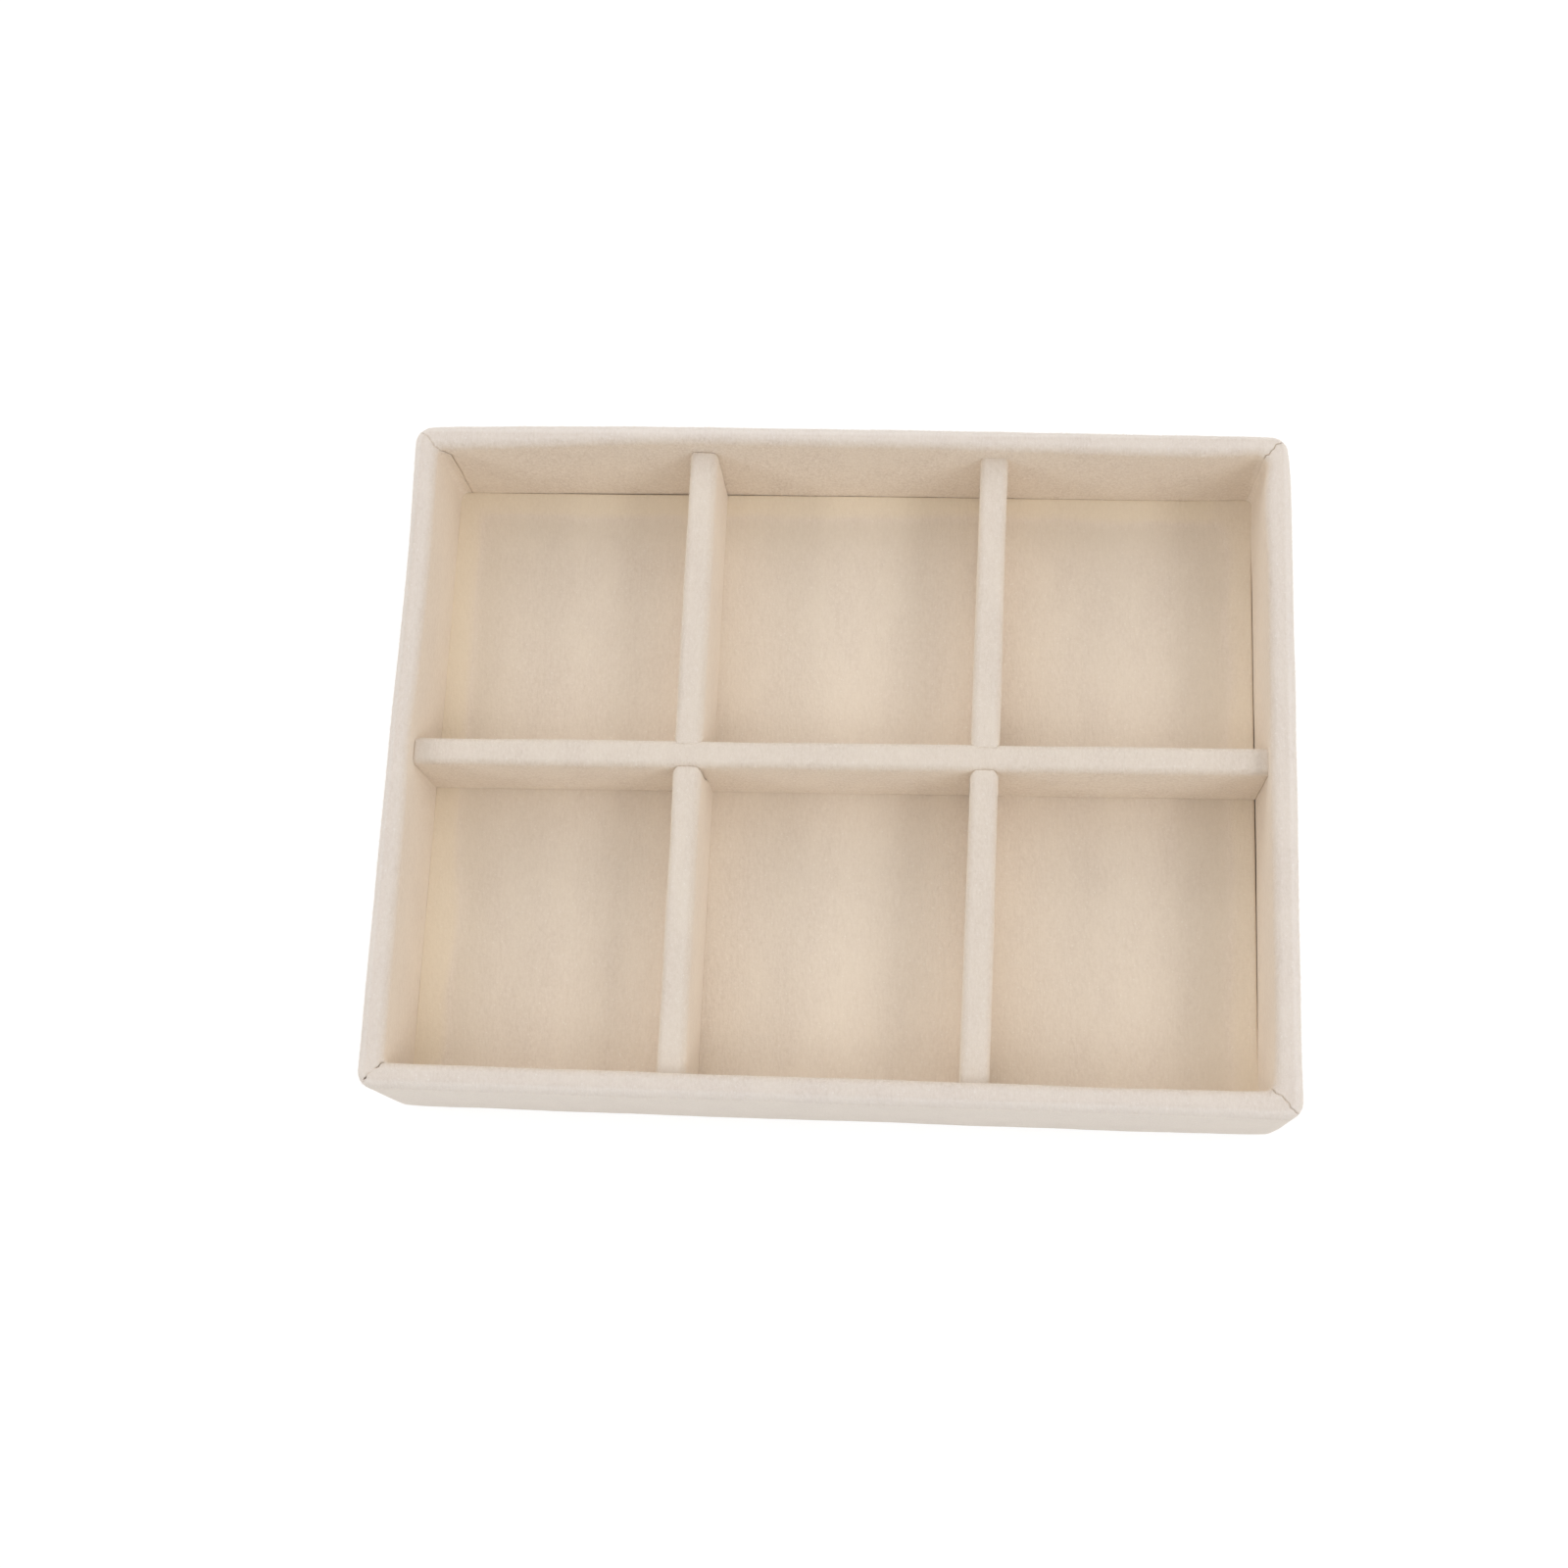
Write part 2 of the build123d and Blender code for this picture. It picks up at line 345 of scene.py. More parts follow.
# How the hand-made corners differ, in the order front right, back right, back left, front left: how far each
# is puffed out; the inner corner's radius at the rim and at the foot; how open its seam is on the rim and on
# the inside; and how far round the corner the inside's seam has crept at the rim and at the foot, where one
# wall's cloth is turned on to the next.
CORNER_PUFF = (0.25, -0.45, 0.05, 0.1)
INNER_CORNERS = ((1.9, 1.2), (2.6, 1.3), (1.2, 1.8), (1.0, 0.8))
SEAM_STRENGTH = (0.85, 1.0, 0.5, 0.5)
INNER_SEAM = (0.34, 0.18, 0.8, 0.25)
SEAM_SHIFT = ((0.0, 0.0), (0.0, 0.95), (-2.1, -1.9), (0.0, 0.0))
# How deep and wide the seams are sunk, how far they wander on the rim and, as a share of that, inside, and
# how dark the painted shade in the gap round the floor is, as a share of a seam's
SEAM_DEPTH = 0.28
SEAM_WIDTH = 0.145
SEAM_WANDER = 0.24
INNER_WANDER = 0.35
GAP_SHADE = 0.7
# How far each of these reaches from the corner's line, and how high the puffs are lost towards the foot
WANDER_REACH = 1.6
SHIFT_REACH = 5.0
PUFF_REACH = 6.0
PUFF_FOOT, PUFF_FULL = 1.0, 9.0
# How uneven the walls' cloth is, and how far from the corners that and the bows set in
WAVINESS = 0.09
WAVES_SET_IN = 7.0
BOWS_SET_IN = 6.0
# How the walls bow: each bow's middle and half length along the wall, which runs from its left end seen from
# outside, and how far it moves outwards the outer and inner face at the rim, and both at the foot
WALL_BOWS = {
    "front": ((0, 200, 0.0, 0.0, 0.35, 0.0),),
    "right": ((0, 200, 0.15, 0.0, 0.0, 0.0), (0, 60, 0.05, 0.0, 0.0, 0.35), (60, 12, 0.0, -0.45, 0.0, 0.0)),
    "back": ((0, 200, 0.3, 0.0, 0.0, 0.0), (40, 30, 0.5, 0.0, 0.0, 0.0), (33, 34, 0.0, 1.7, 0.0, 0.0),
             (-12, 24, 0.0, 0.9, 0.0, 0.0), (-45, 16, 0.0, 0.3, 0.0, 0.0), (-80, 28, -0.6, -0.1, 0.0, 0.0)),
    "left": ((-38, 22, -0.55, -0.4, 0.0, 0.0), (0, 10, 0.0, 0.5, 0.0, 0.0)),
}
# The grid's lines by their distance from the corner's line, closest at the seam, then no more than this apart
SEAM_STEPS = [0, 0.07, 0.14, 0.21, 0.29, 0.38, 0.5, 0.65, 0.85, 1.1, 1.45, 1.9, 2.5, 3.3, 4.3, 5.6, 7.4]
SEAM_STEPS += [10, 13.5]
WALL_STEP = 4.0


def wall_grid(quarter, length, across, path, sunk):
    """Points over one wall, from its left mitre to its right, and how far each is in a seam or
    in the gap's painted shade, from 0 to 1.
    """
    start_inset, start_level, out, up = (np.array(column)[:, None] for column in zip(*path))
    travel = np.hypot(np.diff(start_inset[:, 0]), np.diff(start_level[:, 0]))
    travel = np.concatenate([[0], np.cumsum(travel)])[:, None]
    inside = (start_inset > WALL - 1e-6) * 1.0
    rim_foot = TRAY_HEIGHT - RIM_RADIUS - 0.01
    rim = ramp(start_level, rim_foot, rim_foot + 0.6) * (1 - inside)
    height = ramp(start_level, 0, TRAY_HEIGHT)
    through = ramp(start_inset, 0, WALL)
    inner_foot = TRAY_HEIGHT - INNER_RIM_RADIUS + 0.5
    below_rim = inside * ramp(start_level, inner_foot, inner_foot - 2.5)
    full_run = length / 2 - CORNER_RADIUS + CORNER_RADIUS * math.pi / 4
    steps = SEAM_STEPS + stepped(SEAM_STEPS[-1] + WALL_STEP, full_run, WALL_STEP) + [full_run]
    steps = np.array(steps)[None, :]
    # Painted shade on the inside below the floor's level, in the gap round the floor
    in_gap = GAP_SHADE * inside * (start_level < FLOOR_LEVEL)
    ends, seam_and_shade_marks = [], []
    for end, number in ((1, quarter), (-1, quarter - 1)):
        corner = number % 4  # the front left corner's two numbers differ, so its seam's edges part a little
        along_wall = end * (full_run - steps)
        # The seam, which wanders a little and creeps round the inner corner
        winding = 0.7 * np.sin(1.9 * travel + 2.1 * number) + 0.5 * np.sin(4.7 * travel + 1.3 * number)
        wander = (rim + INNER_WANDER * inside) * SEAM_WANDER * bell(steps, WANDER_REACH) * winding
        shift_at_rim, shift_at_foot = SEAM_SHIFT[corner]
        shift = (shift_at_rim * height + shift_at_foot * (1 - height)) * below_rim
        wander = wander + shift * bell(steps, SHIFT_REACH)
        open_inside = inside * INNER_SEAM[corner] * (0.7 + 0.5 * height)
        seam_and_shade = np.clip(rim * SEAM_STRENGTH[corner] + open_inside, 0, 1) * bell(steps, SEAM_WIDTH)
        broken = 0.75 + 0.25 * np.sin(3.9 * travel + 1.7 * number)
        # A seam's darkening is partly a dark joint and partly painted shade in its groove
        seam_and_shade_marks.append(np.maximum(seam_and_shade * broken, in_gap))
        # The cloth's rise off the plain shape, and the wall's bows
        uneven = WAVINESS * waviness(along_wall, travel, 11 + quarter) * (1 - bell(steps, WAVES_SET_IN))
        puff = CORNER_PUFF[corner] * bell(steps, PUFF_REACH) * (np.abs(out) + 0.3 * up)
        sink = SEAM_DEPTH * seam_and_shade if sunk == 0 else sunk
        rise = uneven + puff * ramp(start_level, PUFF_FOOT, PUFF_FULL) - sink
        bow = 0.0
        for middle, half, outer_rim, inner_rim, outer_foot, inner_foot in WALL_BOWS[SIDES[quarter]]:
            rim_shift = outer_rim + (inner_rim - outer_rim) * through
            foot_shift = outer_foot + (inner_foot - outer_foot) * through
            bow = bow + (foot_shift + (rim_shift - foot_shift) * height) * bell(along_wall - middle, half)
        inset = start_inset + out * rise - bow * (1 - bell(steps, BOWS_SET_IN))
        level = start_level + up * rise
        # The corner's radius, which never falls below the inner corner's own
        at_rim, at_foot = INNER_CORNERS[corner]
        inner_radius = at_foot + (at_rim - at_foot) * height
        radius = 0.5 * (CORNER_RADIUS - inset + inner_radius
                        + np.hypot(CORNER_RADIUS - inset - inner_radius, 0.5))
        own_run = length / 2 - inset - radius + radius * math.pi / 4
        x, y = corner_run(length / 2, across / 2, inset, steps * own_run / full_run - end * wander, radius)
        ends.append(np.stack([end * x, y, level + 0 * x], axis=-1))
    right, left = ends
    turn = np.array(Matrix.Rotation(math.pi / 2 * quarter, 3, "Z"))
    points = np.concatenate([left, right[:, -2::-1]], axis=1) @ turn.T
    return points, np.concatenate([seam_and_shade_marks[1], seam_and_shade_marks[0][:, -2::-1]], axis=1)


def closed_board(name, grid):
    """A wall's board: the grid over its sides and top, closed along its foot and at its mitred ends."""
    rows, columns = grid.shape[:2]
    number = np.arange(rows * columns).reshape(rows, columns)
    faces = grid_faces(np.concatenate([number, number[:1]])).reshape(-1, 4).tolist()
    faces += [number[:, 0].tolist(), number[::-1, -1].tolist()]
    mesh = bpy.data.meshes.new(name)
    mesh.from_pydata(grid.reshape(-1, 3) * MM, [], faces)
    mesh.materials.append(fibreboard)
    return add_object(name, mesh)


wall_sizes = ((TRAY_WIDTH, TRAY_DEPTH), (TRAY_DEPTH, TRAY_WIDTH)) * 2
wall_surfaces = {}
for quarter, (side, (length, across)) in enumerate(zip(SIDES, wall_sizes)):
    board = closed_board(f"{side}_wall_strip", wall_grid(quarter, length, across, board_path, 0.0)[0])
    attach(board, "root")
    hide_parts(f"{side}_wall_board")
    outside, seam_and_shade = wall_grid(quarter, length, across, wrap_path, 0.0)
    inside, _ = wall_grid(quarter, length, across, wrap_path, CLOTH)
    wall_surfaces[side] = outside, seam_and_shade
    piece = cloth_shell(f"{side}_wall_velvet", [(outside, inside, None, seam_and_shade)], velvet)
    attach(piece, "root")
    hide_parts(f"{side}_wall_cloth")


# Bottom sheet: thin non-woven felt paper glued flat under the tray.
# It covers the cut edge of the turned-in velvet and dips up against the base board inside it.
BOTTOM_INSET = 2.0
BOTTOM_RADIUS = 1.5
# How far the sheet dips up inside the turned-in velvet, over what width, and how uneven it lies there
DIP = 2 * SHEET - 0.02
DIP_WIDTH = 1.6
DIP_WAVINESS = 0.03

# Non-woven felt paper, pressed: matt, with a random mesh of short fibres. They are about 0.1 mm thick, too
# fine to show, so their mesh is drawn 0.7 mm wide.
felt_paper, tree, place = new_material("felt_paper")
fibre_net = add_node(tree, "TexVoronoi", {"feature": "DISTANCE_TO_EDGE"}, {
    "Vector": place, "Scale": 1.4 / MM}).outputs["Distance"]
patchy = add_node(tree, "TexNoise", (), {"Vector": place, "Scale": 0.26 / MM, "Detail": 4.0}).outputs["Fac"]
felt_colour = add_node(tree, "Mix", COLOUR, {
    FACTOR: patchy, UNDER: to_linear("C9BBA6"), OVER: to_linear("DDD1BF")})
felt_height = add_node(tree, "Math", {"operation": "ADD"}, {0: fibre_net, 1: patchy})
felt_bump = add_node(tree, "Bump", (), {
    "Height": felt_height.outputs["Value"], "Strength": 0.5, "Distance": 0.1 * MM})
surface = add_node(tree, "BsdfPrincipled", (), {
    "Base Color": felt_colour.outputs[MIXED], "Roughness": 0.9, "IOR": 1.45, "Specular IOR Level": 0.3,
    "Normal": felt_bump.outputs["Normal"]})
add_node(tree, "OutputMaterial", (), {"Surface": surface.outputs["BSDF"]})

# The grid's lines by their distance from a panel's corner
CORNER_STEPS = [0, 0.35, 0.8, 1.4, 2.3, 3.6, 5.5, 8.0]


def rounded_panel(width, depth, radius, edge_path, spacing, level_of):
    """The patches of a panel's face: four edge strips that follow the path of (inset, level) inwards,
    and a grid over the middle whose level comes from level_of(x, y, level)."""
    margin, top = edge_path[-1]
    inset, level = (np.array(column)[:, None] for column in zip(*edge_path))
    ring_radius = np.clip(radius - inset, 0.02, None)
    patches, spans = [], []
    for quarter, (length, across) in enumerate(((width, depth), (depth, width)) * 2):
        half = length / 2 - margin
        distance = CORNER_STEPS + stepped(CORNER_STEPS[-1] + spacing, half, spacing) + [half]
        distance = np.array(distance)[None, :]
        own_run = length / 2 - inset - ring_radius + ring_radius * math.pi / 4
        x, y = corner_run(length / 2, across / 2, inset, distance * own_run / half, ring_radius)
        x, y = np.concatenate([-x, x[:, -2::-1]], axis=1), np.concatenate([y, y[:, -2::-1]], axis=1)
        x[-1] = np.concatenate([distance[0] - half, (half - distance[0])[-2::-1]])
        y[-1] = margin - across / 2
        turn = np.array(Matrix.Rotation(math.pi / 2 * quarter, 3, "Z"))
        patches.append(np.stack([x, y, level + 0 * x], axis=-1) @ turn.T)
        spans.append(x[-1])
    x, y = np.meshgrid(spans[0], spans[1])
    patches.append(np.stack([x, y, top + 0 * x], axis=-1))
    for patch in patches:
        patch[..., 2] = level_of(patch[..., 0], patch[..., 1], patch[..., 2])
    return patches


def sheet_level(x, y, level):
    """The bottom sheet's upper face: flat on the turned-in velvet, dipped up to the base board inside it."""
    within = np.minimum(TRAY_WIDTH / 2 - np.abs(x), TRAY_DEPTH / 2 - np.abs(y)) - TURN_IN
    rise = ramp(within, 0, DIP_WIDTH)
    rise = rise * rise * (3 - 2 * rise)
    return level + DIP * rise + DIP_WAVINESS * waviness(x, y, 31) * rise


sheet_insets = (0.0, 0.8, 1.8, 2.8, 3.6, 3.95, 4.3, 4.7, 5.1, 5.5, 6.5)
sheet_width, sheet_depth = TRAY_WIDTH - 2 * BOTTOM_INSET, TRAY_DEPTH - 2 * BOTTOM_INSET
upper = rounded_panel(sheet_width, sheet_depth, BOTTOM_RADIUS, [(u, SHEET) for u in sheet_insets], 6.0,
                      sheet_level)
patches = [(patch, patch - (0, 0, SHEET), None, None) for patch in upper]
piece = cloth_shell("bottom_felt_sheet", patches, felt_paper)
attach(piece, "root")
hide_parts("bottom_sheet")


# Floor panel: a grey card with velvet glued over its top and edges.
# It is a loose panel laid in the well before the dividers, so a thin dark gap shows round it, and its
# edge is softly rounded where it doesn't touch a wall.
FLOOR_GAP = 0.3
FLOOR_EDGE_RADIUS = 0.6
FLOOR_CORNER_RADIUS = 1.0

# Grey card, calendered: smooth and matt with small recycled flecks about 1 mm apart.
grey_card, tree, place = new_material("grey_card")
pulp = add_node(tree, "TexNoise", (), {"Vector": place, "Scale": 0.9 / MM, "Detail": 5.0}).outputs["Fac"]
card_colour = add_node(tree, "Mix", COLOUR, {
    FACTOR: pulp, UNDER: to_linear("8B8880"), OVER: to_linear("B4B0A6")})
card_bump = add_node(tree, "Bump", (), {"Height": pulp, "Strength": 0.3, "Distance": 0.03 * MM})
surface = add_node(tree, "BsdfPrincipled", (), {
    "Base Color": card_colour.outputs[MIXED], "Roughness": 0.8, "IOR": 1.47,
    "Normal": card_bump.outputs["Normal"]})
add_node(tree, "OutputMaterial", (), {"Surface": surface.outputs["BSDF"]})
finish_node("floor_board", grey_card)

well_width, well_depth = TRAY_WIDTH - 2 * WALL, TRAY_DEPTH - 2 * WALL
panel_width, panel_depth = well_width - 2 * FLOOR_GAP, well_depth - 2 * FLOOR_GAP
# How far the panel's top lies below its plain level, at most, and over what depth its edge follows
FLOOR_WAVINESS = 0.035
FLOOR_SKIRT = 1.6
# The panel's edge path, up its side, over its rounded edge and 4 mm in, and the inner face's, moved in by the
# cloth's thickness
edge_foot = FLOOR_LEVEL - FLOOR_EDGE_RADIUS
outer_edge = [(0.0, z) for z in stepped(BASE_TOP, edge_foot, 0.6)]
outer_edge += [(u, z) for u, z, _, _ in
               quarter_turn((FLOOR_EDGE_RADIUS, edge_foot), FLOOR_EDGE_RADIUS, 180, 6)]
outer_edge += [(u, edge_foot + FLOOR_EDGE_RADIUS) for u in (FLOOR_EDGE_RADIUS, 1.1, 1.8, 2.7, 4.0)]
inner_edge = [(u + CLOTH * (1 - ramp(u, 0, 1.8)), z - CLOTH * ramp(u, 0, 0.6)) for u, z in outer_edge]
CARD_LEVEL = 4.5


def floor_level(x, y, level):
    """The floor's outer face: slight waves on top, none at the panel's foot."""
    near_top = ramp(level, FLOOR_LEVEL - FLOOR_SKIRT, FLOOR_LEVEL)
    return level - FLOOR_WAVINESS * (1 + waviness(x, y, 41)) * near_top


def card_level(x, y, level):
    """The floor's inner face: flat on the card, a little lower than the cloth's plain thickness puts it."""
    return level - FLOOR_WAVINESS * (level > CARD_LEVEL)


# The panel's soft edge swells out to the left wall and nearly to the back and right ones, most of all in the
# back right corner and at the front end of the right side. There its edge is turned up sharp, not rounded:
# how far it swells, its share that is turned up, and from where to where, measured from the middle.
FLOOR_SWELL = {"left": 0.33, "right": 0.36, "back": 0.3}
EDGE_LIFT = {"left": 0.95, "right": 0.5, "back": 0.75}
LIFT_ZONE = {"left": (81, 84), "right": (82, 85), "back": (61, 64)}
CORNER_SWELL = 0.3
MIDDLE_SWELL = 0.13
# The swells grow over this length from the middle, and a turned-up edge ends this far under the floor's level
SWELL_RUN = 20
LIFT_DROP = 0.04


def laid_in(points):
    """Moves the square panel's points to where it lies in the well."""
    x, y, z = np.moveaxis(points, -1, 0)
    left, right, back = (ramp(side, 0, SWELL_RUN) for side in (-x, x, y))
    corner = right * (ramp(y, 48, 55) + ramp(-y, 54, 59))
    near = np.stack([ramp(-x, *LIFT_ZONE["left"]), ramp(x, *LIFT_ZONE["right"]), ramp(y, *LIFT_ZONE["back"])])
    lifts = near * np.array([EDGE_LIFT[name] for name in ("left", "right", "back")])[:, None, None]
    lifts[1] = lifts[1] + near[1] * (1 - EDGE_LIFT["right"]) * np.clip(corner, 0, 1)
    turned_up = lifts.max(axis=0) * ramp(z, 4.4, 4.8)
    back_swell = FLOOR_SWELL["back"] + CORNER_SWELL * ramp(x, 72, 80) + MIDDLE_SWELL * bell(x - 3, 32)
    return np.stack([x + (FLOOR_SWELL["right"] + CORNER_SWELL * corner) * right - FLOOR_SWELL["left"] * left,
                     y + back * back_swell,
                     z + turned_up * (FLOOR_LEVEL - LIFT_DROP - z)], axis=-1)


PANEL_STEP = 5.0
outline = (panel_width, panel_depth, FLOOR_CORNER_RADIUS)
outer_patches = rounded_panel(*outline, outer_edge, PANEL_STEP, floor_level)
inner_patches = rounded_panel(*outline, inner_edge, PANEL_STEP, card_level)
# The side of the panel is painted with the gap's shade, from its foot up to 4.9 mm, under the edge
patches = [(laid_in(outside), inside, None, GAP_SHADE * ramp(outside[..., 2], 4.9, 4.5))
           for outside, inside in zip(outer_patches, inner_patches)]
piece = cloth_shell("floor_velvet", patches, velvet)
# Painted bounce light: a pale, yellower band along the left, right and back walls, wider at the left wall's
# front half and less fully at the right one, and a darker band beyond that: how far from the wall each is
# none and full.
BOUNCE_BAND = (5.6, 3.6)
DARK_BAND_NEAR, DARK_BAND_FAR = (5.0, 7.0), (15, 9)
FRONT_LEFT_WIDER = 1.2
RIGHT_WEAKER, RIGHT_ZONE = 0.4, 8
EDGE_WANDER = 0.7
places = np.empty(3 * len(piece.data.vertices), np.float32)
piece.data.vertices.foreach_get("co", places)
x, y = places[::3] / MM, places[1::3] / MM
from_side = well_width / 2 - abs(x) - FRONT_LEFT_WIDER * ramp(-y, 0, 20) * (x < 0)
from_wall = -np.log(np.exp(-from_side) + np.exp(y - well_depth / 2)) + EDGE_WANDER * waviness(x, y, 57)
bounce_light_band = ramp(from_wall, *BOUNCE_BAND) * (1 - RIGHT_WEAKER * (x > 0) * (from_side < RIGHT_ZONE))
dark_band = ramp(from_wall, *DARK_BAND_NEAR) * ramp(from_wall, *DARK_BAND_FAR)
mark_points(piece.data, "painted_wall_bands", bounce_light_band - dark_band)
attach(piece, "root")
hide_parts("floor_cloth")


# Dividers: one long one across the width and two short ones front to back, cross-lapped.
# Each is a fibreboard strip with velvet glued over its top and both faces and tucked round its ends.
# The long one is slotted from below, the short ones from above, and they stand a little off square.
DIVIDER_TOP = 25.5
DIVIDER_HALF = 2.8
DIVIDER_RADIUS = 1.5
LONG_HALF, SHORT_HALF = 84.85, 63.85
DIVIDER_PITCH = 58.6
SLOT_HALF = 2.86
LAP_LEVEL = 15.45
CROSSING_GAP = 0.2
LONG_FLAT, SHORT_FLAT = (0.1757, 0.0445), (0.1337, 0.0445)
# Where the cloth really ends at each end, and how round it is there and at the arms' inner shoulders
LONG_TIPS, SHORT_TIPS = (-85.6, 85.5), (-64.25, 64.2)
END_RADIUS = 0.6
FRONT_SHOULDER, BACK_SHOULDER = 1.1, 0.5
# How uneven the cloth is, and how far it is tucked in along its foot, over what height
DIVIDER_WAVES = 0.1
FOOT_TUCK = 0.2
FOOT_TUCK_HEIGHT = 0.3
# Where each divider stands: its shift at the middle, and how far it runs off square for each millimetre
LONG_SKEW = (0.55, 0.00768)
SHORT_SKEW = {"left": (-0.33, -0.0010), "right": (0.44, 0.0130)}
# How far the short ones' back ends reach on at the top, how far their right top edge has slumped, and how far
# their foot stands to the right of their top
BACK_REACH = {"left": 1.35, "right": 0.8}
SLUMP = {"left": 0.5, "right": 0.0}
LEAN = {"left": 0.4, "right": 0.0}


def long_place(points):
    """Moves points of the square long divider to where it really stands."""
    x, y, z = np.moveaxis(points, -1, 0)
    return np.stack([x, y + LONG_SKEW[0] + LONG_SKEW[1] * x, z], axis=-1)


def short_place(side):
    """A function that turns points of a short divider, made along X, front to back, to where it stands."""
    shift, slope = SHORT_SKEW[side]
    middle = DIVIDER_PITCH / 2 * (-1 if side == "left" else 1)

    def place(points):
        along, across, z = np.moveaxis(points, -1, 0)
        reach = BACK_REACH[side] * ramp(along, 45, 64) ** 2 * ramp(z, FLOOR_LEVEL, FLOOR_LEVEL + 20)
        slump = SLUMP[side] * ramp(-across, 0.2, DIVIDER_HALF) ** 2 * ramp(z, DIVIDER_TOP - 4, DIVIDER_TOP)
        lean = LEAN[side] * ramp(z, DIVIDER_TOP, DIVIDER_TOP - 20)
        return np.stack([middle + shift + slope * along - across + lean, along + reach, z - slump], axis=-1)
    return place


# The section's points up its side, as shares of the height, closest where the lap is
SIDE_STEPS = (0, 0.012, 0.03, 0.07, 0.14, 0.22, 0.31, 0.41, 0.51, 0.546, 0.6, 0.68, 0.77, 0.86, 0.94)
# The height over which a section is drawn in fully, above the level that holds it, and its bend's steps
HOLD_HEIGHT = 3.0
BEND_STEPS = 8


def section(along, drawn, top, edge, hold, sunk):
    """A divider's cross section from the floor up the front face, over the top and down the back face.

    It is drawn in on both faces, fully above the hold level and not below it. Its top edges are rounded."""
    half = DIVIDER_HALF - sunk
    rising = []
    for step in SIDE_STEPS:
        level = FLOOR_LEVEL + step * (top - edge - FLOOR_LEVEL)
        release = 1.0 if hold is None else min(1.0, max(0.0, (level - hold) / HOLD_HEIGHT))
        tuck = FOOT_TUCK * bell(level - FLOOR_LEVEL, FOOT_TUCK_HEIGHT) if sunk == 0 else 0
        rising.append((drawn * release + tuck - half, level))
    crown = half - drawn - edge
    bend = [math.radians(180 - 90 * k / BEND_STEPS) for k in range(BEND_STEPS + 1)]
    over = [(edge * math.cos(a) - crown, top - edge + edge * math.sin(a)) for a in bend]
    flat = [(crown * (k / 2 - 1), top) for k in range(1, 4)]
    line = rising + over + flat + [(-y, z) for y, z in reversed(rising + over)]
    return np.array([(along, y, z) for y, z in line])


def full_section(along, sunk):
    """A section at a place where the divider has its full width and height."""
    return section(along, 0.0, DIVIDER_TOP - sunk, DIVIDER_RADIUS - sunk, None, sunk)


def plain_sections(start, stop, longest, sunk):
    """Full sections strictly between two places along a divider."""
    return [full_section(along, sunk) for along in stepped(start, stop, longest)[1:]]


def rounded_end(tip, sign, radius, sunk, hold=None, drop=1.0, closed=True):
    """Sections round an upright end, from its tip inwards: drawn in across, and at its top by a share."""
    bend, half, top = max(radius - sunk, 0.1), DIVIDER_HALF - sunk, DIVIDER_TOP - sunk
    edge = DIVIDER_RADIUS - sunk
    face = tip - sign * sunk
    sections = []
    if closed:
        for share in (1.0, 0.8, 0.5):
            drawn = bend + (half - bend) * share
            sections.append(section(face, drawn, top - drop * drawn, 0.0, hold, sunk))
    for k in range(7):
        angle = math.radians(90 - 15 * k)
        drawn = bend * (1 - math.cos(angle))
        sections.append(section(face - sign * bend * (1 - math.sin(angle)), drawn, top - drop * drawn,
                                max(edge * (1 - drawn / bend), 0.0), hold, sunk))
    return sections


def hand_laid(points, seed):
    """Slight unevenness of the cloth over a divider's faces and top."""
    x, y, z = np.moveaxis(points, -1, 0)
    share = ramp(z, FLOOR_LEVEL, FLOOR_LEVEL + 6)
    sideways = DIVIDER_WAVES * waviness(x, z, seed) * share * np.clip(y / 1.5, -1, 1)
    upwards = 0.8 * DIVIDER_WAVES * waviness(x, 3 * y, seed + 1) * share ** 2
    return np.stack([x, y + sideways, z + upwards], axis=-1)


def dress_divider(name, layers, cut, place, seed, flat):
    """The velvet over one divider, in place."""
    outside, inside = place(hand_laid(layers[0], seed)), place(layers[1])
    piece = cloth_shell(name, [(outside, inside, cut, None)], velvet)
    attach(piece, "root")
    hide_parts(name.replace("velvet", "cloth"))
    return outside


EASED_EDGE = 0.3


def divider_strip(name, half_length, notches, from_top, place):
    """A sawn fibreboard strip along X with eased edges, notched from its top or its foot."""
    low, high, half = FLOOR_LEVEL, DIVIDER_TOP - CLOTH, DIVIDER_HALF - CLOTH
    start, stop = (high, low) if from_top else (low, high)
    outline = [(-half_length, start)]
    for middle, reach, level in notches:
        outline += [(middle - reach, start), (middle - reach, level)]
        outline += [(middle + reach, level), (middle + reach, start)]
    outline += [(half_length, start), (half_length, stop), (-half_length, stop)]
    work = bmesh.new()
    face = work.faces.new([work.verts.new((x, -half, z)) for x, z in outline])
    moved = bmesh.ops.extrude_face_region(work, geom=[face])["geom"]
    bmesh.ops.translate(work, verts=[part for part in moved if isinstance(part, bmesh.types.BMVert)],
                        vec=(0, 2 * half, 0))
    bmesh.ops.recalc_face_normals(work, faces=work.faces)
    bmesh.ops.bevel(work, geom=work.edges[:], offset=EASED_EDGE, segments=1, affect="EDGES")
    for vertex in work.verts:
        vertex.co = place(np.array(vertex.co)) * MM
    mesh = bpy.data.meshes.new(name)
    work.to_mesh(mesh)
    work.free()
    mesh.materials.append(fibreboard)
    strip = add_object(name, mesh)
    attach(strip, "root")
    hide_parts(name.replace("strip", "board"))


# How far apart the sections are at most, along an arm and over a slot, and how far in from a tip they start
ARM_STEP, SLOT_STEP = 4.0, 1.5
TIP_RUN = 1.0

